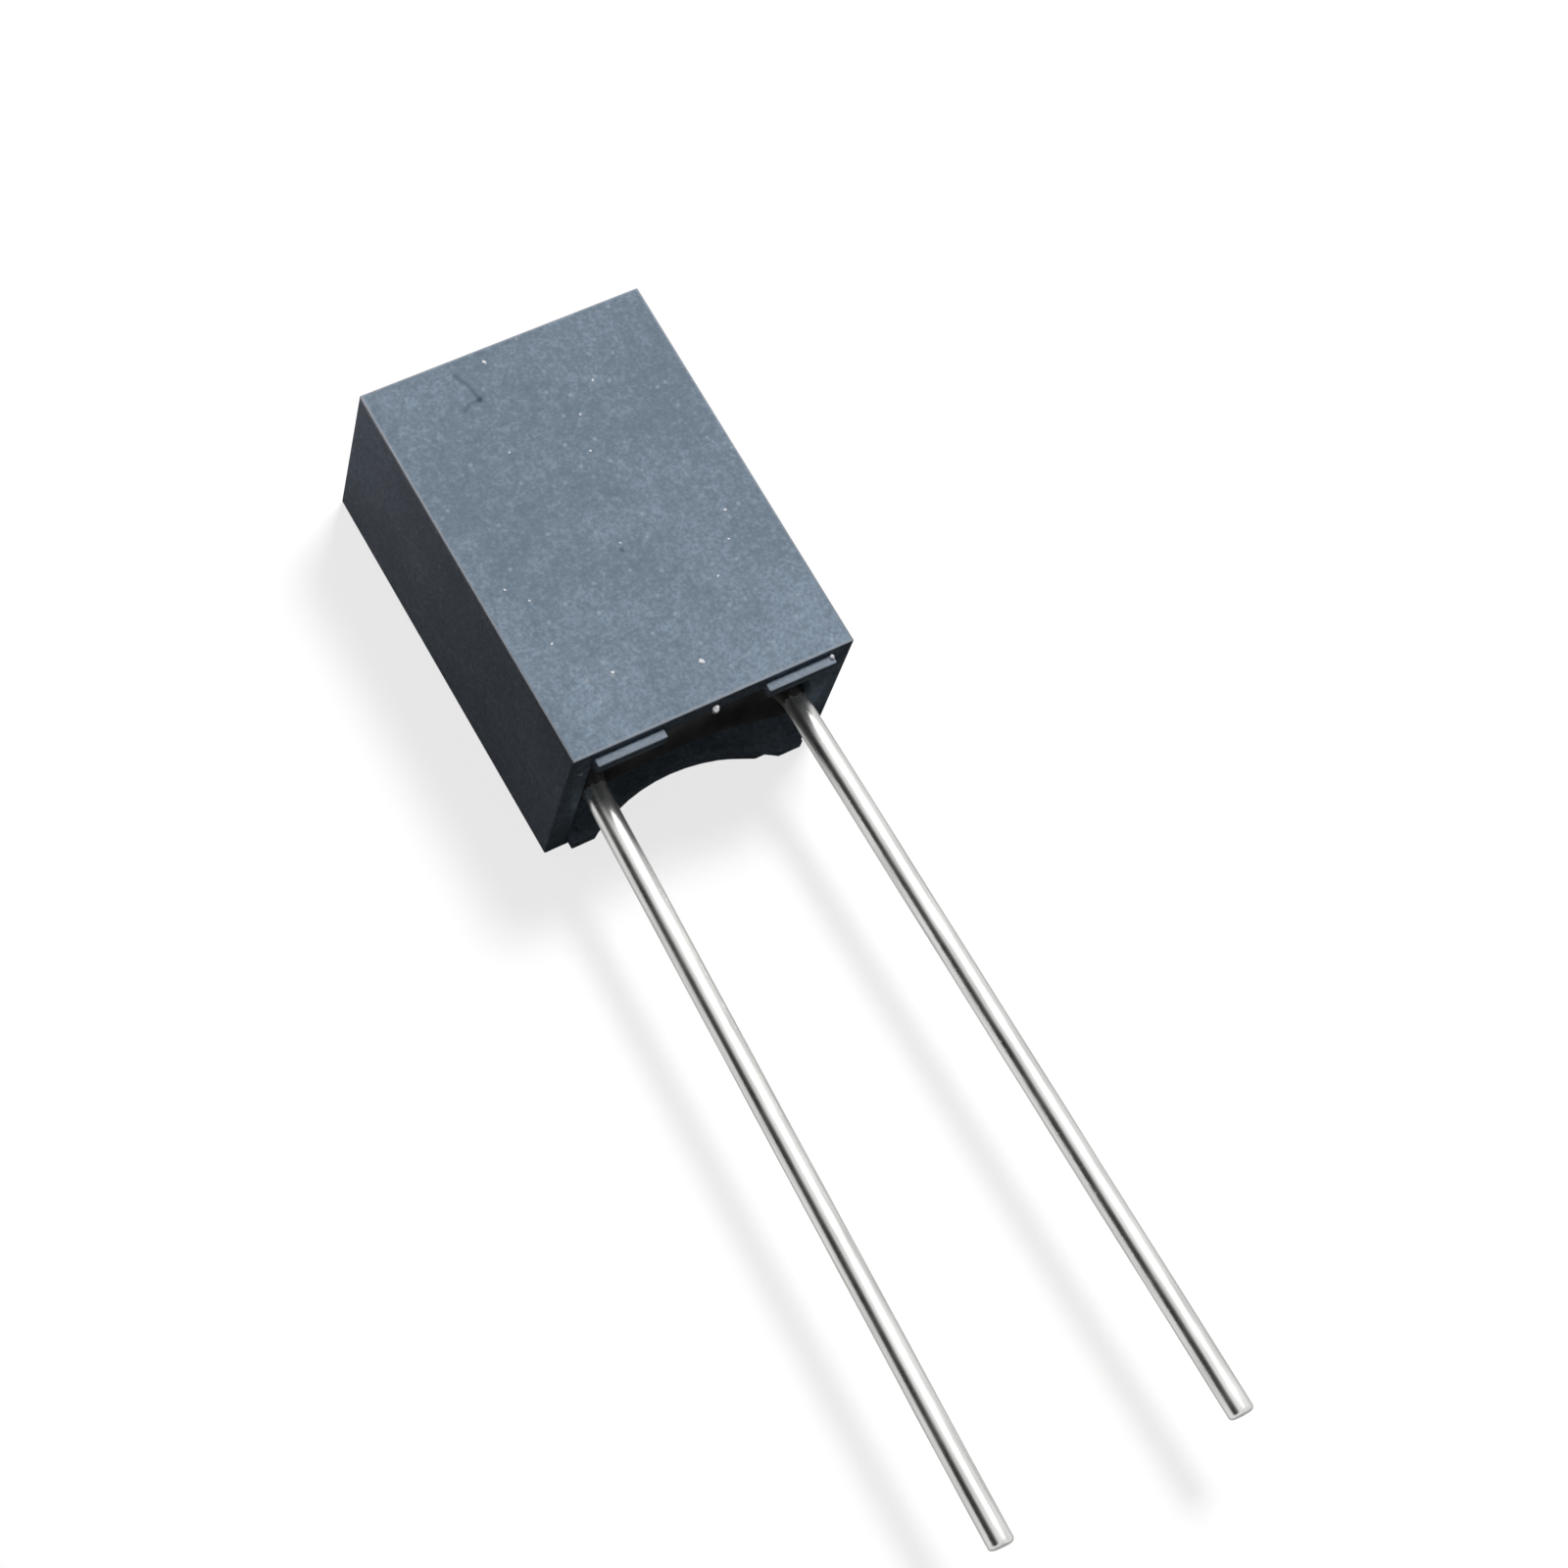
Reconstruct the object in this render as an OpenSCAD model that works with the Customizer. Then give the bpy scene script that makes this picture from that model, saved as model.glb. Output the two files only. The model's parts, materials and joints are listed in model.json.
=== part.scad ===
// Box-type film capacitor with two radial leads, lying on one broad face.
// X runs across the two leads, +Y from the lead end to the closed end, Z is the thickness.
// The origin is the middle of the lower broad face. All lengths are in millimetres.

/* [Case] */
// Width of the case, across the two leads
case_width = 7.2; // [6.6:0.1:9]
// Thickness of the case, between its broad faces
case_thickness = 4.8; // [4.2:0.1:7]
// Height of the case, from the rim at the lead end to the closed end
case_height = 10; // [9:0.1:14]
// Wall of the case
case_wall = 0.55; // [0.45:0.05:0.7]
// Thickness of the closed end
end_wall = 0.6; // [0.4:0.05:1]
// Rounding of the long edges and of the closed end
edge_radius = 0.1; // [0.06:0.02:0.3]
// Small rounding of the outer edge of the rim
rim_radius = 0.04; // [0.02:0.01:0.1]
// Rounding of the cavity's corners
cavity_radius = 0.3; // [0.2:0.05:0.6]

/* [Standoff feet] */
// How far the feet stand out from the rim
foot_height = 0.25; // [0.2:0.05:0.6]
// Length of a foot along the rim
foot_length = 1.75; // [1:0.05:2]
// From a narrow side of the case to the near end of a foot
foot_end_gap = 0.55; // [0.3:0.05:0.8]
// From a broad face of the case to the outer side of a foot
foot_inset = 0.22; // [0.1:0.02:0.3]
// Width of the arch in the lower wall, at the tips of its feet
arch_width = 4.9; // [3:0.1:5.4]
// How far the arch cuts into the lower wall from the rim
arch_depth = 0.5; // [0.2:0.05:0.6]

/* [Moulding marks] */
// Width of each shallow round mark on the right narrow side
mark_width = 0.7; // [0.4:0.05:1]
// Depth of a mark at its middle
mark_depth = 0.06; // [0.03:0.01:0.1]
// Distance between the two marks
mark_pitch = 1.5; // [1.2:0.1:2]
// From the closed end to the marks
mark_end_gap = 2.55; // [1.5:0.05:4]

/* [Potting resin] */
// How far the resin lies below the rim, in the corners
resin_depth = 0.6; // [0.5:0.05:0.9]
// How much deeper it lies in the middle
resin_dish = 0.5; // [0.2:0.05:0.7]
// How far below the rim the collar of resin round each lead ends
collar_drop = 0.04; // [0.02:0.01:0.2]
// Thickness of the collar at its top
collar_lip = 0.08; // [0.08:0.01:0.12]
// Radius of the collar's hollow flank
collar_flank = 1.2; // [1:0.1:2]
// Resin between the wound element and the case
potting_gap = 0.25; // [0.15:0.05:0.4]
// Resin over the wound element, below the deepest part of the dish
resin_cover = 0.4; // [0.2:0.05:0.8]

/* [Leads] */
// Diameter of the wire
lead_diameter = 0.6; // [0.5:0.05:0.7]
// Resin between a lead and the narrow wall beside it
lead_wall_gap = 0.15; // [0.15:0.05:0.3]
// Length of a lead from the rim to its tip
lead_reach = 18.7; // [5:0.1:30]
// Angle by which the left lead splays outwards
left_splay_angle = 1.9; // [0.6:0.1:2]
// Angle by which the right lead splays outwards
right_splay_angle = 0.9; // [0.6:0.1:2]
// Thickness of the wire's inner end, which is pressed flat
flat_thickness = 0.35; // [0.25:0.05:0.4]
// Width of the flat end
flat_width = 0.65; // [0.55:0.05:0.7]
// Length of the flat end that is welded to the sprayed contact
weld_length = 4.5; // [2:0.1:5]
// How deep the flat end starts inside the collar
flat_cover = 0.02; // [0.01:0.01:0.1]
// Length over which the round wire runs into the flat end
flat_overlap = 0.04; // [0.02:0.01:0.1]

/* [Wound element] */
// Thickness of each sprayed contact
spray_thickness = 0.3; // [0.25:0.05:0.5]

/* [Hidden] */
$fn = 64;

// Tools that cut right through reach this far past the surface
past = 1;

rim_y = -case_height / 2;
end_y = case_height / 2;
mid_z = case_thickness / 2;

cavity_width = case_width - 2 * case_wall;
cavity_thickness = case_thickness - 2 * case_wall;
cavity_end_y = end_y - end_wall;

foot_thickness = case_wall - foot_inset;
foot_x = case_width / 2 - foot_end_gap - foot_length / 2;

// The arch is an arc through its apex and the tips of the feet
arch_rise = arch_depth + foot_height;
arch_radius = arc_radius(arch_width / 2, arch_rise);

// The mark is a cap of a sphere
mark_radius = arc_radius(mark_width / 2, mark_depth);
mark_centre_x = case_width / 2 + mark_radius - mark_depth;

// The dish of the resin is a sphere through the cavity's corners
dish_reach = norm([cavity_width, cavity_thickness]) / 2;
dish_radius = arc_radius(dish_reach, resin_dish);
dish_bottom_y = rim_y + resin_depth + resin_dish;

lead_radius = lead_diameter / 2;
lead_x = cavity_width / 2 - lead_wall_gap - lead_radius;
// Where the dish's surface meets a lead
lead_exit_y = dish_bottom_y - dish_radius + sqrt(pow(dish_radius, 2) - pow(lead_x, 2));

// The collar is a cylinder with a ring of the flank's radius cut from it
collar_top_y = rim_y + collar_drop;
collar_height = lead_exit_y - collar_top_y;
collar_top_radius = lead_radius + collar_lip;
collar_ring_radius = collar_top_radius + collar_flank;
collar_base_radius = collar_ring_radius - sqrt(pow(collar_flank, 2) - pow(collar_height, 2));

spray_outer_x = lead_x - flat_thickness / 2;
winding_half_width = spray_outer_x - spray_thickness;
winding_thickness = cavity_thickness - 2 * potting_gap;
winding_low_y = dish_bottom_y + resin_cover;
winding_high_y = cavity_end_y - potting_gap;

flat_low_y = collar_top_y + flat_cover;
flat_high_y = winding_low_y + weld_length;
// Start and end of the round wire, measured outwards along it from where it leaves the dish
round_start = lead_exit_y - flat_low_y - flat_overlap;
round_end = lead_exit_y - rim_y + lead_reach;

// Radius of an arc of the given half chord and rise
function arc_radius(half_chord, rise) = (pow(half_chord, 2) + pow(rise, 2)) / (2 * rise);

// Turns a profile's plane upright: the profile's Y becomes Z, and it is extruded towards -Y
module along_y(length) {
    rotate([90, 0, 0]) linear_extrude(length) children();
}

// Turns a profile so that its X becomes Y and its Y becomes Z, extruded towards +X
module along_x(length) {
    rotate([90, 0, 90]) linear_extrude(length) children();
}

// A rectangle in the middle of the plane with four equal round corners
module rounded_rectangle(width, height, radius) {
    square([width - 2 * radius, height], center = true);
    square([width, height - 2 * radius], center = true);
    for (side = [-1, 1], end = [-1, 1])
        translate([side * (width / 2 - radius), end * (height / 2 - radius)]) circle(radius);
}

// The case seen from one side: a plate from the rim to the closed end along +Y, centred on X,
// with a small radius at the rim and a larger one at the closed end
module side_profile(width) {
    translate([-width / 2, rim_y + rim_radius]) square([width, case_height - rim_radius - edge_radius]);
    translate([-width / 2 + rim_radius, rim_y]) square([width - 2 * rim_radius, case_height - edge_radius]);
    translate([-width / 2 + edge_radius, rim_y + rim_radius])
        square([width - 2 * edge_radius, case_height - rim_radius]);
    for (side = [-1, 1]) {
        translate([side * (width / 2 - rim_radius), rim_y + rim_radius]) circle(rim_radius);
        translate([side * (width / 2 - edge_radius), end_y - edge_radius]) circle(edge_radius);
    }
}

// The outside of the case, with every edge rounded
module case_block() {
    intersection() {
        translate([0, end_y + past, mid_z]) along_y(case_height + 2 * past)
            rounded_rectangle(case_width, case_thickness, edge_radius);
        translate([0, 0, -past]) linear_extrude(case_thickness + 2 * past) side_profile(case_width);
        translate([-case_width / 2 - past, 0, mid_z]) rotate([0, 90, 0])
            linear_extrude(case_width + 2 * past) side_profile(case_thickness);
    }
}

// The space inside the case, from the closed end out to the given place beyond or below the rim
module cavity(open_y) {
    translate([0, cavity_end_y, mid_z]) along_y(cavity_end_y - open_y)
        rounded_rectangle(cavity_width, cavity_thickness, cavity_radius);
}

// Two feet on the rim of the lower wall, flush with the wall's inner face
module foot_pair() {
    for (side = [-1, 1])
        translate([side * foot_x - foot_length / 2, rim_y - foot_height, foot_inset])
            cube([foot_length, foot_height + case_wall, foot_thickness]);
}

// The arch between the feet of the lower wall
module arch_cut() {
    translate([0, rim_y + arch_depth - arch_radius, -past])
        cylinder(r = arch_radius, h = case_wall + past + foot_inset);
}

module case() {
    color("slategray") difference() {
        union() {
            difference() {
                case_block();
                cavity(rim_y - past);
            }
            foot_pair();
            translate([0, 0, case_thickness]) mirror([0, 0, 1]) foot_pair();
        }
        arch_cut();
        for (side = [-1, 1])
            translate([mark_centre_x, end_y - mark_end_gap, mid_z + side * mark_pitch / 2])
                sphere(mark_radius);
    }
}

// The pressed roll's outline: Y along the case, Z through its thickness
module roll_outline() {
    straight = winding_high_y - winding_low_y - winding_thickness;
    translate([winding_low_y + winding_thickness / 2, mid_z - winding_thickness / 2])
        square([straight, winding_thickness]);
    for (y = [winding_low_y + winding_thickness / 2, winding_high_y - winding_thickness / 2])
        translate([y, mid_z]) circle(winding_thickness / 2);
}

module roll_slice(from_x, to_x) {
    translate([from_x, 0, 0]) along_x(to_x - from_x) roll_outline();
}

// The right lead's own frame: the origin where it leaves the resin, +Z outwards along the wire
module along_lead(splay_angle) {
    translate([lead_x, lead_exit_y, mid_z]) rotate([90, 0, splay_angle]) children();
}

// The resin that climbs a lead: a ring with a hollow flank
module collar(splay_angle) {
    along_lead(splay_angle) difference() {
        translate([0, 0, -resin_cover])
            cylinder(r = collar_base_radius, h = resin_cover + collar_height);
        translate([0, 0, collar_height])
            rotate_extrude() translate([collar_ring_radius, 0]) circle(collar_flank);
    }
}

// The right lead: a round wire whose inner end is pressed flat against the sprayed contact
module lead(splay_angle) {
    along_lead(splay_angle) translate([0, 0, round_start])
        cylinder(r = lead_radius, h = round_end - round_start);
    translate([spray_outer_x, flat_low_y, mid_z - flat_width / 2])
        cube([flat_thickness, flat_high_y - flat_low_y, flat_width]);
}

module end_spray() {
    roll_slice(winding_half_width, spray_outer_x);
}

module left_handed() {
    mirror([1, 0, 0]) children();
}

module resin_fill() {
    color("black") difference() {
        union() {
            difference() {
                cavity(rim_y + resin_depth);
                translate([0, dish_bottom_y - dish_radius, mid_z]) sphere(dish_radius);
            }
            intersection() {
                union() {
                    left_handed() collar(left_splay_angle);
                    collar(right_splay_angle);
                }
                cavity(rim_y - past);
            }
        }
        roll_slice(-spray_outer_x, spray_outer_x);
        left_handed() lead(left_splay_angle);
        lead(right_splay_angle);
    }
}

module film_winding() {
    color("gainsboro") roll_slice(-winding_half_width, winding_half_width);
}

module end_spray_left() {
    color("darkgray") left_handed() end_spray();
}

module end_spray_right() {
    color("darkgray") end_spray();
}

module lead_left() {
    color("silver") left_handed() lead(left_splay_angle);
}

module lead_right() {
    color("silver") lead(right_splay_angle);
}

case();
resin_fill();
film_winding();
end_spray_left();
end_spray_right();
lead_left();
lead_right();
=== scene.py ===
"""Looks of a box-type film capacitor that lies on one broad face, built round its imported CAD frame.

X runs across the two leads, +Y from the lead end to the closed end, and Z up through the thickness.
Named sizes are in millimetres and named colours in sRGB; the scene itself is in metres.
"""

import json
import math
import random

import bmesh
import bpy
from mathutils import Matrix, Vector, noise


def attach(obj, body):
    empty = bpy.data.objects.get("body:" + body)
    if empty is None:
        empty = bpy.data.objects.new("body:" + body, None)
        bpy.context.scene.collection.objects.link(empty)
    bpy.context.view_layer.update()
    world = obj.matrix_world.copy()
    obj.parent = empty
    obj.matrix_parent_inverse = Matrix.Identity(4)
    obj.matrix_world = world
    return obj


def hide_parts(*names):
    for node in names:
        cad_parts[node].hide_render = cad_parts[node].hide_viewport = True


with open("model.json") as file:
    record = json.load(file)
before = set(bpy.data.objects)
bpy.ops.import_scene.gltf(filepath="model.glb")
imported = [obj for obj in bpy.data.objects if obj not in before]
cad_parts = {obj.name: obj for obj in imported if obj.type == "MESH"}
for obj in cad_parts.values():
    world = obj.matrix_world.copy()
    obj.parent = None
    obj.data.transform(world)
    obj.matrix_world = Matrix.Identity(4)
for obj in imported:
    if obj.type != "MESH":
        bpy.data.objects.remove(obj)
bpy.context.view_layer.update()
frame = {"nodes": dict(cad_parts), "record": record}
mounts = {mount["name"]: mount for mount in frame["record"]["mounts"]}

MM = 0.001
UP = Vector((0, 0, 1))
ORIGIN = Vector((0, 0, 0))

# Camera, fitted to the corners of the case in the photo
CAMERA_PLACE = Vector((-29.571, -31.354, 78.538))
CAMERA_RIGHT = Vector((0.85016, -0.49299, 0.18491))
CAMERA_UP = Vector((0.38410, 0.82089, 0.42263))
CAMERA_LENS = 87.93
CAMERA_SENSOR = 36.0
CAMERA_NEAREST = 5.0

# One soft lamp above and behind
LAMP_PLACE = Vector((95, 75, 235))
LAMP_SIZE = 70
LAMP_POWER = 0.61
# A dim fill from the left and behind, which ends at this cosine of the angle to its middle
FILL_SIDE = (-0.45, 0.89, 0.0)
FILL_END = -0.2
FILL_TONE = 0.41
FILL_COLOUR = (1.0, 0.88, 0.84, 1.0)
# A weak narrow spot on the far end of the left side
SPOT_PLACE = Vector((-60, 40, 5))
SPOT_TARGET = Vector((-3.6, 6.5, 4.5))
SPOT_ANGLE = 9.5
SPOT_POWER = 0.052
SPOT_WIDTH = 5.0
# A dark wall on the left that only mirrors show: the X of the directions where it starts and is full
WALL_RANGE = (-0.48, -0.70)
WALL_DARKNESS = 0.97

# The white table: a part that takes shadows, and a glow that grows with the distance from the object
TABLE_HALF_WIDTH = 2000
TABLE_DROP = 0.01
TABLE_SHADED_TONE = 0.30
TABLE_GLOW = (0.77, 1.0)
TABLE_GLOW_REACH = (40, 160)
TABLE_BOUNCE_TONE = 0.04

# The case and its cavity, as in the CAD part
RIM_Y = -5.0
TOP_Z = 4.8
MIDDLE_Z = 2.4
CAVITY_WIDTH = 6.1
CAVITY_THICKNESS = 3.7
CAVITY_RADIUS = 0.3
CAVITY_END_Y = 4.4
# In the CAD mesh, points this near become one, and faces this nearly level are joined
SAME_POINT = 0.0001
LEVEL_ANGLE = 0.5
# How far the case's sharp edges are softened, from which angle, and the room that this needs
EDGE_SOFTENING = 0.035
SHARP_ANGLE = 35
SOFTENING_ROOM = 1.4

# The resin's dish, and how the resin climbs the walls and the leads
DISH_RADIUS = 12.974
DISH_BOTTOM_Y = -3.9
WALL_CLIMB = 0.12
WALL_CLIMB_REACH = 0.22
LEAD_CLIMB_TOP_Y = -4.93
LEAD_CLIMB_REACH = 0.16
LEAD_CLIMB_UNEVENNESS = 0.35
LEAD_CLIMB_LUMPS_PER_MM = 2.5
DISH_UNEVENNESS = 0.02
DISH_WAVES_PER_MM = 0.9
# The resin is paler and browner where it comes this near to the rim
PALER_RESIN_RANGE_Y = (RIM_Y + 0.6, RIM_Y + 0.1)
# How finely the resin's mesh is cut
RESIN_LAYERS = 64
LONG_WALL_STEPS = 72
SHORT_WALL_STEPS = 44
CORNER_STEPS = 8

# The leads: sections of the flat end from its tip to where it turns round, then the round wire
LEAD_X = 2.6
FLAT_SECTIONS_Y = (1.0, 0.94, -3.0, -4.2)
FLAT_HALF_THICKNESS = 0.175
FLAT_HALF_WIDTH = 0.325
FLAT_SQUARENESS = 8
ROUND_SQUARENESS = 2
WIRE_WANDER = 0.006
WIRE_WANDERS_PER_MM = 0.35
WIRE_SWELL = 0.004
WIRE_SWELLS_PER_MM = 1.3
TIP_ROUNDING = 0.09
TIP_SLANT = 0.06
# How finely the wire's mesh is cut
WIRE_SIDES = 48
TURN_STEPS = 8
STRAIGHT_STEPS = 40
TIP_STEPS = 6

# Each kind of unevenness has a slice of the noise to itself, so that no two run alike
SIDEWAYS_SLICE = 0.0
WAVES_SLICE = 2.0
SWELL_SLICE = 5.0
LUMPS_SLICE = 7.0
UPWARDS_SLICE = 9.0

# Dust on the broad face: X, Y and width of each fleck
TOP_DUST = [
    (-0.61, 4.62, 0.10), (1.43, 3.22, 0.06), (0.74, 2.55, 0.06), (-1.20, 2.33, 0.05),
    (0.49, 1.63, 0.06), (-2.94, -0.68, 0.06), (-0.03, -0.70, 0.05), (2.55, -0.94, 0.07),
    (-2.57, -1.14, 0.06), (2.26, -1.62, 0.06), (-2.63, -2.28, 0.07), (1.57, -2.34, 0.06),
    (-1.75, -3.45, 0.08), (0.18, -4.04, 0.14),
]
# Crumbs caught on the rim and on a foot at the lead end: X, Y, Z and width of each
END_DUST = [(0.0, -5.085, 4.52, 0.20), (2.99, -5.1, 4.60, 0.12), (-3.29, -5.02, 4.05, 0.10)]
# A fleck's length, breadth and height on the broad face for its width, and how lumpy it is
FLECK_LENGTH = 1.15
FLECK_BREADTH = 0.85
FLECK_FLATNESS = 0.5
FLECK_LUMPS = 0.35
FLECK_LUMP_COUNT = 3
FLECK_SEED = 7

# The plastic's colours along its grain, from dark to pale
PLASTIC_TONES = [(0.35, (113, 128, 143)), (0.50, (122, 137, 152)), (0.80, (150, 167, 184))]
# What shifts that tone: the share of coarse grain, wide clouds, and a painted sheen that pales the
# plastic towards the lead end
COARSE_SHARE = 0.35
CLOUD_SHIFT = (-0.045, 0.06)
SHEEN_RANGE_Y = (-1.0, -4.5)
SHEEN_SHIFT = 0.10
# Fine pale specks in the plastic, painted glints of its spark-eroded grain
GLINTS_PER_MM = 2.2
GLINT_RADIUS = 0.08
GLINT_COLOUR = (186, 195, 204)
# The edges round the broad face, paler from wear and a painted highlight, and the tops of the two upper
# feet, paler from painted light
WORN_AND_HIGHLIT_EDGES = [
    (-3.571, -4.988, 4.78), (3.571, -4.988, 4.78), (3.571, 4.971, 4.771), (-3.571, 4.971, 4.771),
    (-3.571, -4.988, 4.78),
]
WORN_AND_HIGHLIT_EDGE_REACH = 0.08
PAINTED_LIT_FEET = [
    [(-3.03, -5.2, 4.58), (-1.32, -5.2, 4.58)],
    [(1.32, -5.2, 4.58), (3.03, -5.2, 4.58)],
]
PAINTED_LIT_FOOT_REACH = 0.2
WEAR_AND_LIGHT_COLOUR = (175, 181, 188)
# A scuff on the broad face, from its faint end over a dark dot, a dent darkened with painted shade, to
# its hook
SCUFF_DOT = (-1.155, 3.80, TOP_Z)
SCUFF_DOT_RADIUS = 0.13
SCUFF = [
    (-1.39, 4.57, TOP_Z), (-1.22, 4.2, TOP_Z), SCUFF_DOT, (-1.40, 3.80, TOP_Z), (-1.60, 3.68, TOP_Z),
]
SCUFF_REACH = 0.09
SCUFF_COLOUR = (82, 95, 107)
# A pit in the broad face, darkened with painted shade as the scuff's dot is
PIT = (-0.08, -0.87, TOP_Z)
PIT_RADIUS = 0.11
HOLLOW_SHADE_COLOUR = (42, 50, 58)

# The tin: drawing lines per millimetre along X, Y and Z, and the metal's tone at a grazing look
TIN_LINES_PER_MM = (12.0, 0.5, 12.0)
TIN_GRAZING_TONE = 0.4


def linear(red, green, blue):
    """The linear colour of an sRGB colour given from 0 to 255."""
    def channel(value):
        share = value / 255
        if share <= 0.04045:
            return share / 12.92
        return ((share + 0.055) / 1.055) ** 2.4
    return (channel(red), channel(green), channel(blue), 1.0)


def grey(tone):
    """A linear grey, from 0 to 1."""
    return (tone, tone, tone, 1.0)


def place(tree, kind, inputs=None, **settings):
    """Adds a node to a tree. inputs maps a socket to a plain value or to another node's output."""
    node = tree.nodes.new(kind)
    for name, value in settings.items():
        setattr(node, name, value)
    for socket, value in (inputs or {}).items():
        if isinstance(value, bpy.types.NodeSocket):
            tree.links.new(value, node.inputs[socket])
        else:
            node.inputs[socket].default_value = value
    return node


def calculate(tree, operation, first, second):
    """A calculation on two numbers."""
    return place(tree, "ShaderNodeMath", {0: first, 1: second}, operation=operation).outputs[0]


def vector_step(tree, operation, output=0, **inputs):
    """A vector calculation on the inputs first, second and scale."""
    sockets = {"first": 0, "second": 1, "scale": "Scale"}
    values = {sockets[name]: value for name, value in inputs.items()}
    node = place(tree, "ShaderNodeVectorMath", values, operation=operation)
    return node.outputs[output]


def spread(tree, value, source, target, interpolation="LINEAR"):
    """Maps a range of values onto another, clamped; each range is a pair."""
    inputs = {
        "Value": value,
        "From Min": source[0],
        "From Max": source[1],
        "To Min": target[0],
        "To Max": target[1],
    }
    node = place(tree, "ShaderNodeMapRange", inputs, interpolation_type=interpolation)
    return node.outputs["Result"]


def fade(tree, distance, reach):
    """1 at no distance, falling to 0 at the reach."""
    return spread(tree, distance, (0.0, reach), (1.0, 0.0), "SMOOTHSTEP")


def grain(tree, vector, scale, detail=2.0, roughness=0.5):
    """Smooth noise from 0 to 1."""
    inputs = {"Vector": vector, "Scale": scale, "Detail": detail, "Roughness": roughness}
    return place(tree, "ShaderNodeTexNoise", inputs).outputs["Fac"]


def ramp(tree, fac, *stops):
    """A colour ramp; each stop is a place from 0 to 1 and an sRGB colour."""
    node = place(tree, "ShaderNodeValToRGB", {"Fac": fac})
    elements = node.color_ramp.elements
    while len(elements) < len(stops):
        elements.new(0.5)
    for element, (position, colour) in zip(elements, stops):
        element.position = position
        element.color = linear(*colour)
    return node.outputs["Color"]


def blend(tree, share, first, second):
    """A colour between two, by a share from 0 to 1."""
    node = place(tree, "ShaderNodeMix", {0: share, 6: first, 7: second}, data_type="RGBA")
    return node.outputs[2]


def tint(tree, colour, other, mask, strength):
    """A colour that turns into an sRGB colour where a mask is 1, by a strength from 0 to 1."""
    share = calculate(tree, "MULTIPLY", mask, strength)
    return blend(tree, share, colour, linear(*other))


def near_point(tree, where, point, reach):
    """1 at a point, falling to 0 at the reach."""
    distance = vector_step(tree, "DISTANCE", output="Value", first=where, second=point)
    return fade(tree, distance, reach)


def near_stroke(tree, where, points, reach):
    """1 along a line through the points, falling to 0 at the reach."""
    mask = None
    for start, end in zip(points, points[1:]):
        run = Vector(end) - Vector(start)
        unit_run = run / run.length_squared
        offset = vector_step(tree, "SUBTRACT", first=where, second=start)
        share = vector_step(tree, "DOT_PRODUCT", output="Value", first=offset, second=unit_run)
        share = place(tree, "ShaderNodeClamp", {"Value": share}).outputs[0]
        back = vector_step(tree, "SCALE", first=-run, scale=share)
        gap = vector_step(tree, "ADD", first=offset, second=back)
        near = fade(tree, vector_step(tree, "LENGTH", output="Value", first=gap), reach)
        mask = near if mask is None else calculate(tree, "MAXIMUM", mask, near)
    return mask


def millimetres(tree):
    """The place on the object, in millimetres of the row frame."""
    coordinates = place(tree, "ShaderNodeTexCoord")
    return vector_step(tree, "SCALE", first=coordinates.outputs["Object"], scale=1 / MM)


def relief(tree, height, strength, depth):
    """The normal of a surface with a fine relief, whose depth is in millimetres."""
    inputs = {"Height": height, "Strength": strength, "Distance": depth * MM}
    return place(tree, "ShaderNodeBump", inputs).outputs["Normal"]


def new_material(name):
    """An empty material and its node tree."""
    material = bpy.data.materials.new(name)
    material.use_nodes = True
    material.node_tree.nodes.clear()
    return material, material.node_tree


def close_tree(tree, shader, kind="ShaderNodeOutputMaterial"):
    """Leads a shader to the output of a material or a world."""
    output = place(tree, kind)
    tree.links.new(shader.outputs[0], output.inputs["Surface"])


def close_surface(tree, inputs):
    """Closes a material with one Principled shader."""
    close_tree(tree, place(tree, "ShaderNodeBsdfPrincipled", inputs))


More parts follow.
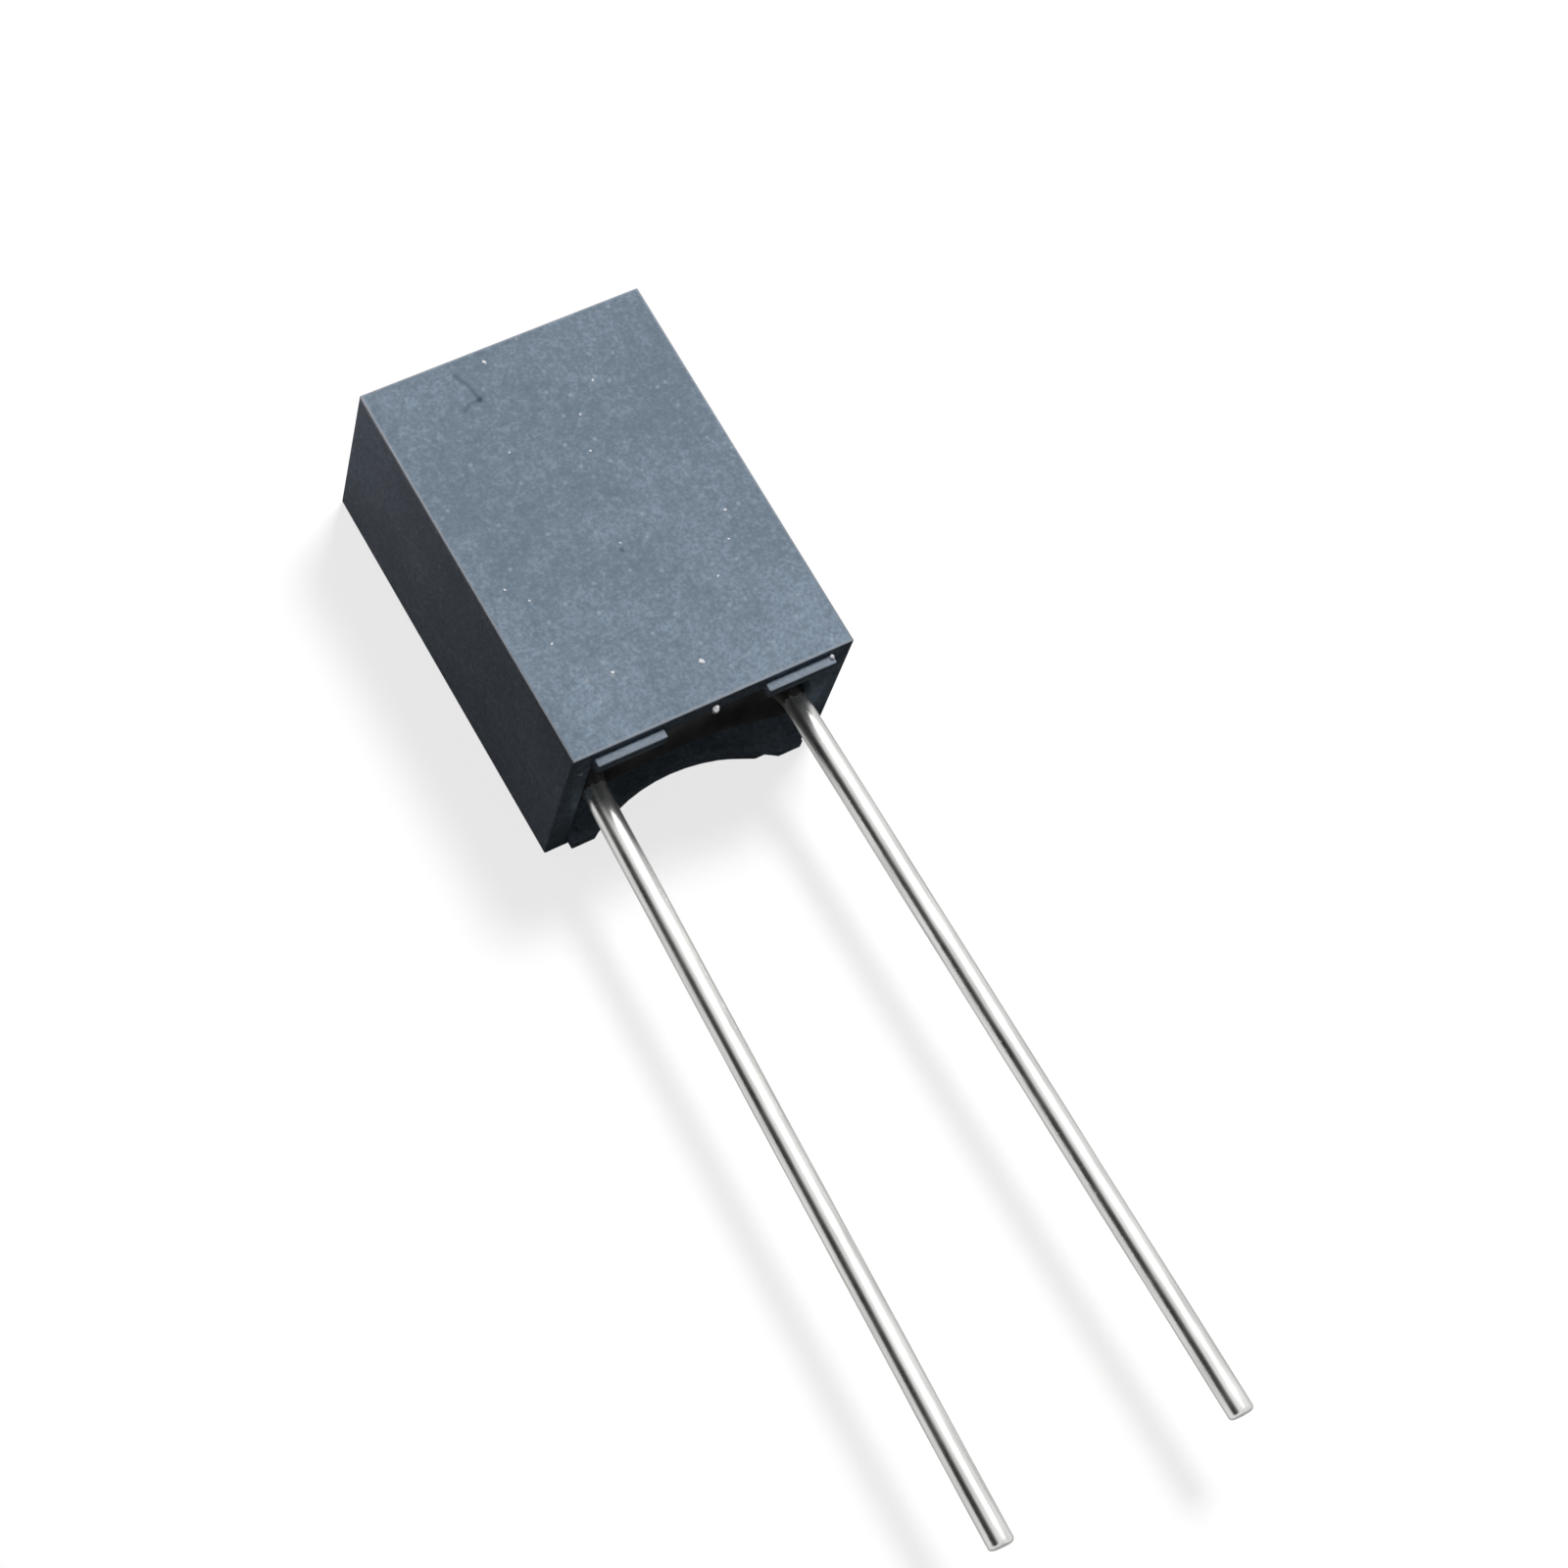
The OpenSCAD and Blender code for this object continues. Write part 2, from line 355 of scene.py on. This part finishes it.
def case_plastic():
    """Slate grey moulding with a spark-eroded grain, painted glints, edges paler from wear and a
    painted highlight, painted light on the foot tops and towards the lead end, one scuff, and a dot and
    a pit darkened with painted shade.
    """
    material, tree = new_material("case_plastic")
    where = millimetres(tree)
    fine = grain(tree, where, scale=12.0, roughness=0.6)
    coarse = grain(tree, where, scale=4.5)
    cloud = spread(tree, grain(tree, where, scale=0.5, detail=3.0), (0.35, 0.65), CLOUD_SHIFT)
    along = place(tree, "ShaderNodeSeparateXYZ", {0: where}).outputs["Y"]
    # Painted sheen: the plastic made paler towards the lead end
    painted_sheen = spread(tree, along, SHEEN_RANGE_Y, (0.0, SHEEN_SHIFT))
    clouds_and_sheen = calculate(tree, "ADD", cloud, painted_sheen)
    tone = calculate(tree, "ADD", blend(tree, COARSE_SHARE, fine, coarse), clouds_and_sheen)
    colour = ramp(tree, tone, *PLASTIC_TONES)
    # Painted glints: pale specks scattered over the plastic
    cells = place(tree, "ShaderNodeTexVoronoi", {"Vector": where, "Scale": GLINTS_PER_MM})
    painted_glint = fade(tree, cells.outputs["Distance"], GLINT_RADIUS * GLINTS_PER_MM)
    colour = tint(tree, colour, GLINT_COLOUR, painted_glint, strength=0.5)
    # Paler edges round the broad face: wear and a painted highlight
    worn_and_highlit = near_stroke(tree, where, WORN_AND_HIGHLIT_EDGES, WORN_AND_HIGHLIT_EDGE_REACH)
    colour = tint(tree, colour, WEAR_AND_LIGHT_COLOUR, worn_and_highlit, strength=0.7)
    # Painted light: the tops of the two upper feet made paler
    for foot in PAINTED_LIT_FEET:
        painted_lit_foot = near_stroke(tree, where, foot, PAINTED_LIT_FOOT_REACH)
        colour = tint(tree, colour, WEAR_AND_LIGHT_COLOUR, painted_lit_foot, strength=0.35)
    scuff = near_stroke(tree, where, SCUFF, SCUFF_REACH)
    colour = tint(tree, colour, SCUFF_COLOUR, scuff, strength=0.5)
    # The dot and the pit are dents in the relief, darkened with painted shade
    dot = near_point(tree, where, SCUFF_DOT, SCUFF_DOT_RADIUS)
    pit = near_point(tree, where, PIT, PIT_RADIUS)
    dents_and_shade = calculate(tree, "MAXIMUM", dot, pit)
    colour = tint(tree, colour, HOLLOW_SHADE_COLOUR, dents_and_shade, strength=0.6)
    height = calculate(tree, "SUBTRACT", fine, dents_and_shade)
    close_surface(tree, {
        "Base Color": colour,
        "Roughness": spread(tree, fine, (0.3, 0.7), (0.50, 0.60)),
        "Specular IOR Level": 0.002,
        "Normal": relief(tree, height, strength=0.3, depth=0.03),
    })
    return material


def potting_resin():
    """Dark cast epoxy, a little paler and browner where it has climbed towards the rim."""
    material, tree = new_material("potting_resin")
    where = millimetres(tree)
    cloud = grain(tree, where, scale=2.0, detail=3.0)
    deep = ramp(tree, cloud, (0.3, (64, 65, 66)), (0.7, (84, 84, 84)))
    # A paler, browner colour for the resin near the rim
    dust = grain(tree, where, scale=7.0, detail=3.0)
    rim_colour = ramp(tree, dust, (0.3, (70, 69, 67)), (0.7, (98, 95, 91)))
    along = place(tree, "ShaderNodeSeparateXYZ", {0: where}).outputs["Y"]
    climbed = spread(tree, along, PALER_RESIN_RANGE_Y, (0.0, 1.0))
    close_surface(tree, {
        "Base Color": blend(tree, climbed, deep, rim_colour),
        "Roughness": spread(tree, cloud, (0.3, 0.7), (0.28, 0.42)),
        "Specular IOR Level": 0.10,
        "Normal": relief(tree, cloud, strength=0.25, depth=0.08),
    })
    return material


def metallised_film():
    """The edges of many turns of film, seen as fine layers."""
    material, tree = new_material("metallised_film")
    inputs = {"Vector": millimetres(tree), "Scale": 4.0, "Distortion": 0.6}
    layers = place(tree, "ShaderNodeTexWave", inputs, bands_direction="Z").outputs["Fac"]
    close_surface(tree, {
        "Base Color": ramp(tree, layers, (0.2, (172, 176, 182)), (0.8, (204, 206, 210))),
        "Metallic": 0.6,
        "Roughness": 0.3,
    })
    return material


def sprayed_zinc():
    """Grey flame-sprayed metal with a coarse grit."""
    material, tree = new_material("sprayed_zinc")
    grit = grain(tree, millimetres(tree), scale=8.0, detail=5.0, roughness=0.7)
    close_surface(tree, {
        "Base Color": ramp(tree, grit, (0.3, (112, 113, 115)), (0.7, (150, 150, 150))),
        "Metallic": 0.8,
        "Roughness": 0.65,
        "Normal": relief(tree, grit, strength=0.8, depth=0.08),
    })
    return material


def tinned_wire():
    """Bright tin with fine drawing lines along the wire and a few duller stretches."""
    material, tree = new_material("tinned_wire")
    where = millimetres(tree)
    drawn = vector_step(tree, "MULTIPLY", first=where, second=TIN_LINES_PER_MM)
    lines = grain(tree, drawn, scale=1.0, detail=1.0)
    dull = grain(tree, where, scale=1.4, detail=3.0)
    close_surface(tree, {
        "Base Color": ramp(tree, lines, (0.3, (198, 198, 196)), (0.7, (224, 224, 222))),
        "Metallic": 1.0,
        "Roughness": spread(tree, dull, (0.35, 0.75), (0.26, 0.34)),
        "Specular Tint": grey(TIN_GRAZING_TONE),
        "Normal": relief(tree, lines, strength=0.02, depth=0.01),
    })
    return material


def pale_dust():
    """Dull, nearly white crumbs."""
    material, tree = new_material("pale_dust")
    mottle = grain(tree, millimetres(tree), scale=20.0)
    close_surface(tree, {
        "Base Color": ramp(tree, mottle, (0.3, (222, 226, 230)), (0.7, (246, 248, 250))),
        "Roughness": 0.8,
    })
    return material


def seen_directly_or_mirrored(tree):
    """1 for what the camera sees, also in metal or through glass, and 0 for light that is thrown on."""
    path = place(tree, "ShaderNodeLightPath").outputs
    mirrored = calculate(tree, "MAXIMUM", path["Is Glossy Ray"], path["Is Transmission Ray"])
    return calculate(tree, "MAXIMUM", path["Is Camera Ray"], mirrored)


def close_by_sight(tree, unseen, seen, kind="ShaderNodeOutputMaterial"):
    """Closes a tree with one shader for what is seen and another for the light thrown on."""
    sight = seen_directly_or_mirrored(tree)
    inputs = {"Fac": sight, 1: unseen.outputs[0], 2: seen.outputs[0]}
    close_tree(tree, place(tree, "ShaderNodeMixShader", inputs), kind)


def table_white():
    """A white table. It shows its colour to the camera and in mirrors, and throws little light back."""
    material, tree = new_material("table_white")
    shaded = place(tree, "ShaderNodeBsdfDiffuse", {"Color": grey(TABLE_SHADED_TONE)})
    from_object = vector_step(tree, "LENGTH", output="Value", first=millimetres(tree))
    glow_tone = spread(tree, from_object, TABLE_GLOW_REACH, TABLE_GLOW)
    glow = place(tree, "ShaderNodeEmission", {"Color": grey(1.0), "Strength": glow_tone})
    shown = place(tree, "ShaderNodeAddShader", {0: shaded.outputs[0], 1: glow.outputs[0]})
    bounced = place(tree, "ShaderNodeBsdfDiffuse", {"Color": grey(TABLE_BOUNCE_TONE)})
    close_by_sight(tree, bounced, shown)
    return material


def build_world():
    """White to the camera and in mirrors, apart from a dark wall on the left; dim fill for the rest."""
    world = bpy.data.worlds.new("studio")
    bpy.context.scene.world = world
    world.use_nodes = True
    tree = world.node_tree
    tree.nodes.clear()
    outlook = place(tree, "ShaderNodeTexCoord").outputs["Generated"]
    sideways = place(tree, "ShaderNodeSeparateXYZ", {0: outlook}).outputs["X"]
    left_wall = spread(tree, sideways, WALL_RANGE, (0.0, WALL_DARKNESS), "SMOOTHSTEP")
    mirrored = place(tree, "ShaderNodeLightPath").outputs["Is Glossy Ray"]
    wall_shows = calculate(tree, "MULTIPLY", left_wall, mirrored)
    room_tone = calculate(tree, "SUBTRACT", 1.0, wall_shows)
    room = place(tree, "ShaderNodeBackground", {"Color": grey(1.0), "Strength": room_tone})
    towards_fill = vector_step(tree, "DOT_PRODUCT", output="Value", first=outlook, second=FILL_SIDE)
    fill_tone = spread(tree, towards_fill, (FILL_END, 1.0), (0.0, FILL_TONE))
    fill = place(tree, "ShaderNodeBackground", {"Color": FILL_COLOUR, "Strength": fill_tone})
    close_by_sight(tree, fill, room, "ShaderNodeOutputWorld")


def add_object(name, data):
    """Adds an object to the scene."""
    made = bpy.data.objects.new(name, data)
    bpy.context.scene.collection.objects.link(made)
    return made


def build_camera():
    """The photo's camera."""
    data = bpy.data.cameras.new("camera")
    data.lens = CAMERA_LENS
    data.sensor_width = CAMERA_SENSOR
    data.clip_start = CAMERA_NEAREST * MM
    camera = add_object("camera", data)
    towards_camera = CAMERA_RIGHT.cross(CAMERA_UP)
    turn = Matrix((CAMERA_RIGHT, CAMERA_UP, towards_camera)).transposed().to_4x4()
    camera.matrix_world = Matrix.Translation(CAMERA_PLACE * MM) @ turn
    bpy.context.scene.camera = camera


def hang_lamp(data, position, target):
    """Puts a lamp at a position, turned towards a target; both are in millimetres."""
    lamp = add_object(data.name, data)
    lamp.location = position * MM
    lamp.rotation_euler = (position - target).to_track_quat("Z", "Y").to_euler()


def build_lamps():
    """The soft lamp and the weak spot."""
    softbox = bpy.data.lights.new("softbox", "AREA")
    softbox.shape = "SQUARE"
    softbox.size = LAMP_SIZE * MM
    softbox.energy = LAMP_POWER
    hang_lamp(softbox, LAMP_PLACE, ORIGIN)
    spot = bpy.data.lights.new("side_spot", "SPOT")
    spot.spot_size = math.radians(SPOT_ANGLE)
    spot.spot_blend = 1.0
    spot.energy = SPOT_POWER
    spot.color = FILL_COLOUR[:3]
    spot.shadow_soft_size = SPOT_WIDTH * MM
    hang_lamp(spot, SPOT_PLACE, SPOT_TARGET)


def build_floor():
    """The table, a hair below the part, so that the two faces don't fight."""
    half = TABLE_HALF_WIDTH * MM
    z = -TABLE_DROP * MM
    corners = [(-half, -half, z), (half, -half, z), (half, half, z), (-half, half, z)]
    mesh = bpy.data.meshes.new("floor")
    mesh.from_pydata(corners, [], [(0, 1, 2, 3)])
    mesh.materials.append(table_white())
    floor = add_object("floor", mesh)


def dress(node, material):
    """Gives a CAD node its material."""
    data = frame["nodes"][node].data
    data.materials.clear()
    data.materials.append(material)


def smooth(mesh, sharp_angle):
    """Shades a mesh smoothly, with its edges sharp above an angle."""
    mesh.shade_smooth()
    mesh.set_sharp_from_angle(angle=math.radians(sharp_angle))


def skin(name, rings, material, sharp_angle):
    """A closed tube through rings of equally many points, in millimetres."""
    sides = len(rings[0])
    points = [point for ring in rings for point in ring]
    faces = []
    for first in range(0, len(points) - sides, sides):
        second = first + sides
        for side in range(sides):
            after = (side + 1) % sides
            faces.append((first + side, first + after, second + after, second + side))
    for first, ring in ((0, rings[0]), (len(points) - sides, rings[-1])):
        centre = len(points)
        points.append(sum(ring, Vector()) / sides)
        for side in range(sides):
            after = (side + 1) % sides
            faces.append((centre, first + side, first + after))
    mesh = bpy.data.meshes.new(name)
    mesh.from_pydata([point * MM for point in points], [], faces)
    shape = bmesh.new()
    shape.from_mesh(mesh)
    bmesh.ops.recalc_face_normals(shape, faces=shape.faces[:])
    shape.to_mesh(mesh)
    shape.free()
    smooth(mesh, sharp_angle)
    mesh.materials.append(material)
    return add_object(name, mesh)


def stand_for(piece, node):
    """Shows a piece in place of a CAD node."""
    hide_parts(node)
    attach(piece, "root")


def lead_axis(node):
    """The middle of a lead's round wire in millimetres and its direction, from the record's mount."""
    mount = mounts[node]
    return Vector(mount["pos_m"]) / MM, Vector(mount["axis"])


def wire_ring(centre, across, half_width, half_height, squareness, lean=Vector()):
    """One section of a wire: an ellipse that turns into a rounded rectangle as squareness grows."""
    points = []
    for side in range(WIRE_SIDES):
        angle = 2 * math.pi * side / WIRE_SIDES
        cosine = math.cos(angle)
        sine = math.sin(angle)
        sideways = math.copysign(abs(cosine) ** (2 / squareness), cosine) * half_width
        upwards = math.copysign(abs(sine) ** (2 / squareness), sine) * half_height
        points.append(centre + across * sideways + UP * upwards + lean * sideways)
    return points


def build_lead(node, material):
    """A round tinned wire with a sheared tip, pressed flat where it is welded on inside the case."""
    middle, outwards = lead_axis(node)
    radius = mounts[node]["dims"]["r_mm"]
    length = mounts[node]["dims"]["length_mm"]
    across = outwards.cross(UP)
    flat_x = math.copysign(LEAD_X, middle.x)
    rings = []
    for y in FLAT_SECTIONS_Y:
        centre = Vector((flat_x, y, MIDDLE_Z))
        rings.append(wire_ring(centre, across, FLAT_HALF_THICKNESS, FLAT_HALF_WIDTH, FLAT_SQUARENESS))
    flat_stop = Vector((flat_x, FLAT_SECTIONS_Y[-1], MIDDLE_Z))
    start = middle - outwards * (length / 2)
    for step in range(1, TURN_STEPS + 1):
        share = step / TURN_STEPS
        eased = share * share * (3 - 2 * share)
        centre = flat_stop.lerp(start, share)
        half_width = FLAT_HALF_THICKNESS + (radius - FLAT_HALF_THICKNESS) * eased
        half_height = FLAT_HALF_WIDTH + (radius - FLAT_HALF_WIDTH) * eased
        squareness = FLAT_SQUARENESS + (ROUND_SQUARENESS - FLAT_SQUARENESS) * eased
        rings.append(wire_ring(centre, across, half_width, half_height, squareness))
    straight = length - TIP_ROUNDING
    for step in range(1, STRAIGHT_STEPS + 1):
        distance = straight * step / STRAIGHT_STEPS
        sideways = noise.noise(Vector((flat_x, distance * WIRE_WANDERS_PER_MM, SIDEWAYS_SLICE)))
        upwards = noise.noise(Vector((flat_x, distance * WIRE_WANDERS_PER_MM, UPWARDS_SLICE)))
        wander = Vector((sideways, 0.0, upwards)) * WIRE_WANDER
        centre = start + outwards * distance + wander
        swell_place = Vector((flat_x, distance * WIRE_SWELLS_PER_MM, SWELL_SLICE))
        swollen = radius * (1 + WIRE_SWELL * noise.noise(swell_place))
        rings.append(wire_ring(centre, across, swollen, swollen, ROUND_SQUARENESS))
    for step in range(1, TIP_STEPS + 1):
        turn = math.pi / 2 * step / TIP_STEPS
        centre = start + outwards * (straight + TIP_ROUNDING * math.sin(turn))
        narrowed = radius - TIP_ROUNDING * (1 - math.cos(turn))
        lean = outwards * (-TIP_SLANT * step / TIP_STEPS)
        rings.append(wire_ring(centre, across, narrowed, narrowed, ROUND_SQUARENESS, lean))
    lead = skin(node + "_wire", rings, material, sharp_angle=40)
    stand_for(lead, node)


def corner_point(x, z, degrees):
    """A point on the rounding of a cavity corner, whose centre is at x and z."""
    angle = math.radians(degrees)
    return (x + CAVITY_RADIUS * math.cos(angle), z + CAVITY_RADIUS * math.sin(angle))


def cavity_outline(scale):
    """Points round the cavity's section, shrunk towards its middle by a scale."""
    half_x = CAVITY_WIDTH / 2 - CAVITY_RADIUS
    half_z = CAVITY_THICKNESS / 2 - CAVITY_RADIUS
    corners = [(half_x, half_z), (-half_x, half_z), (-half_x, -half_z), (half_x, -half_z)]
    wall_steps = [LONG_WALL_STEPS, SHORT_WALL_STEPS] * 2
    points = []
    for index, (x, z) in enumerate(corners):
        for step in range(CORNER_STEPS + 1):
            points.append(corner_point(x, z, 90 * index + 90 * step / CORNER_STEPS))
        start_x, start_z = points[-1]
        after = (index + 1) % len(corners)
        end_x, end_z = corner_point(*corners[after], 90 * after)
        for step in range(1, wall_steps[index]):
            share = step / wall_steps[index]
            points.append((start_x + (end_x - start_x) * share, start_z + (end_z - start_z) * share))
    return [(x * scale, MIDDLE_Z + z * scale) for x, z in points]


def wall_distance(x, z):
    """Distance from a point inside the cavity to its wall."""
    beyond_x = abs(x) - (CAVITY_WIDTH / 2 - CAVITY_RADIUS)
    beyond_z = abs(z - MIDDLE_Z) - (CAVITY_THICKNESS / 2 - CAVITY_RADIUS)
    outside = math.hypot(max(beyond_x, 0), max(beyond_z, 0))
    inside = min(max(beyond_x, beyond_z), 0)
    return CAVITY_RADIUS - outside - inside


def resin_y(x, z):
    """The Y of the resin's surface: a dish that climbs the walls a little and the leads to the rim."""
    off_middle = math.hypot(x, z - MIDDLE_Z)
    dish = DISH_BOTTOM_Y - DISH_RADIUS + math.sqrt(DISH_RADIUS ** 2 - off_middle ** 2)
    climb = WALL_CLIMB * math.exp(-max(wall_distance(x, z), 0) / WALL_CLIMB_REACH)
    waves = noise.noise(Vector((x * DISH_WAVES_PER_MM, z * DISH_WAVES_PER_MM, WAVES_SLICE)))
    surface = dish - climb + DISH_UNEVENNESS * waves
    lump_place = Vector((x * LEAD_CLIMB_LUMPS_PER_MM, z * LEAD_CLIMB_LUMPS_PER_MM, LUMPS_SLICE))
    lumps = noise.noise(lump_place)
    reach = LEAD_CLIMB_REACH * (1 + LEAD_CLIMB_UNEVENNESS * lumps)
    for node in ("lead_left", "lead_right"):
        middle, outwards = lead_axis(node)
        axis_x = middle.x + outwards.x * (RIM_Y - middle.y) / outwards.y
        from_wire = math.hypot(x - axis_x, z - MIDDLE_Z) - mounts[node]["dims"]["r_mm"]
        rise = (dish - LEAD_CLIMB_TOP_Y) * math.exp(-max(from_wire, 0) / reach)
        surface = min(surface, dish - rise)
    return surface


def build_resin(material):
    """The cast resin, with a finely curved surface between the walls and the two leads."""
    rings = [[Vector((x, CAVITY_END_Y, z)) for x, z in cavity_outline(1.0)]]
    for layer in range(RESIN_LAYERS):
        outline = cavity_outline(1 - layer / RESIN_LAYERS)
        rings.append([Vector((x, resin_y(x, z), z)) for x, z in outline])
    resin = skin("resin_cast", rings, material, sharp_angle=50)
    stand_for(resin, "resin_fill")


def can_soften(edge):
    """True for a sharp edge where no edge that meets it is too short for the softening."""
    if not edge.is_manifold or edge.calc_face_angle() < math.radians(SHARP_ANGLE):
        return False
    meeting = [other for vert in edge.verts for other in vert.link_edges]
    return min(other.calc_length() for other in meeting) > SOFTENING_ROOM * EDGE_SOFTENING * MM


def build_case(material):
    """The CAD case with the sharp edges of its feet and of its arch softened."""
    mesh = frame["nodes"]["case"].data.copy()
    mesh.name = "case_moulding"
    shape = bmesh.new()
    shape.from_mesh(mesh)
    bmesh.ops.remove_doubles(shape, verts=shape.verts[:], dist=SAME_POINT * MM)
    bmesh.ops.dissolve_limit(shape, angle_limit=math.radians(LEVEL_ANGLE),
                             verts=shape.verts[:], edges=shape.edges[:])
    sharp = [edge for edge in shape.edges if can_soften(edge)]
    bmesh.ops.bevel(shape, geom=sharp, offset=EDGE_SOFTENING * MM, offset_type="OFFSET",
                    segments=2, profile=0.5, affect="EDGES", clamp_overlap=True)
    shape.to_mesh(mesh)
    shape.free()
    smooth(mesh, sharp_angle=50)
    mesh.materials.clear()
    mesh.materials.append(material)
    case = add_object("case_moulding", mesh)
    even = case.modifiers.new("even_normals", "WEIGHTED_NORMAL")
    even.keep_sharp = True
    stand_for(case, "case")


def build_dust(material):
    """Small uneven flecks that lie on the broad face and at the lead end."""
    rng = random.Random(FLECK_SEED)
    flecks = [(Vector((x, y, TOP_Z)), width, FLECK_FLATNESS * width) for x, y, width in TOP_DUST]
    flecks += [(Vector((x, y, z)), width, width) for x, y, z, width in END_DUST]
    shape = bmesh.new()
    for spot, width, height in flecks:
        made = bmesh.ops.create_icosphere(shape, subdivisions=2, radius=0.5)["verts"]
        for vert in made:
            vert.co *= 1 + FLECK_LUMPS * noise.noise(vert.co * FLECK_LUMP_COUNT + spot)
        spin = Matrix.Rotation(rng.uniform(0, math.tau), 4, "Z")
        stretch = Matrix.Diagonal((width * FLECK_LENGTH, width * FLECK_BREADTH, height, 1.0))
        move = Matrix.Translation(spot * MM) @ spin @ stretch @ Matrix.Scale(MM, 4)
        bmesh.ops.transform(shape, matrix=move, verts=made)
    mesh = bpy.data.meshes.new("dust_flecks")
    shape.to_mesh(mesh)
    shape.free()
    mesh.materials.append(material)
    dust = add_object("dust_flecks", mesh)
    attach(dust, "root")


bpy.context.scene.view_settings.view_transform = "Standard"
build_world()
build_lamps()
build_camera()
build_floor()

plastic = case_plastic()
resin_black = potting_resin()
tin = tinned_wire()
zinc = sprayed_zinc()
dress("case", plastic)
dress("resin_fill", resin_black)
dress("film_winding", metallised_film())
dress("end_spray_left", zinc)
dress("end_spray_right", zinc)
dress("lead_left", tin)
dress("lead_right", tin)

build_case(plastic)
build_resin(resin_black)
build_lead("lead_left", tin)
build_lead("lead_right", tin)
build_dust(pale_dust())
